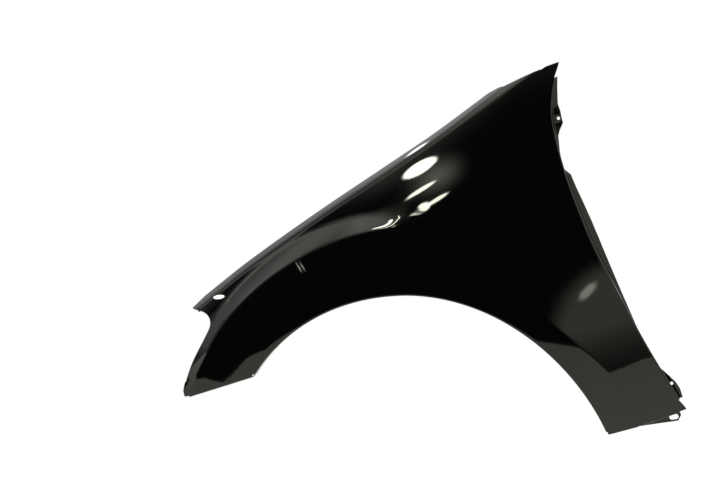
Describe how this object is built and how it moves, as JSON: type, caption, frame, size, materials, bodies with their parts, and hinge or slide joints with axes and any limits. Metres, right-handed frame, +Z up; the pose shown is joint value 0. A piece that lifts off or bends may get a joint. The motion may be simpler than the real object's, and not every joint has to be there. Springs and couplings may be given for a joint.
{
  "type": "car front fender",
  "caption": "Pressed sheet front fender for the left side of a car, with a flared wheel arch, a sharp nose beside the headlamp, folded mounting flanges and bolt holes, in gloss black paint.",
  "frame": {"origin": "underside of the second rail pad from the front, 9.5 mm to the rear of its bolt hole, where the panel rests on the inner wing", "axes": "+X along the car to the rear, +Y inboard towards the engine bay, -Y out of the car, +Z up as fitted"},
  "size_m": [0.8527, 0.2344, 0.6146],
  "materials": {
    "paint": "gloss"
  },
  "bodies": {
    "root": {"fender_panel": "paint"}
  },
  "joints": []
}
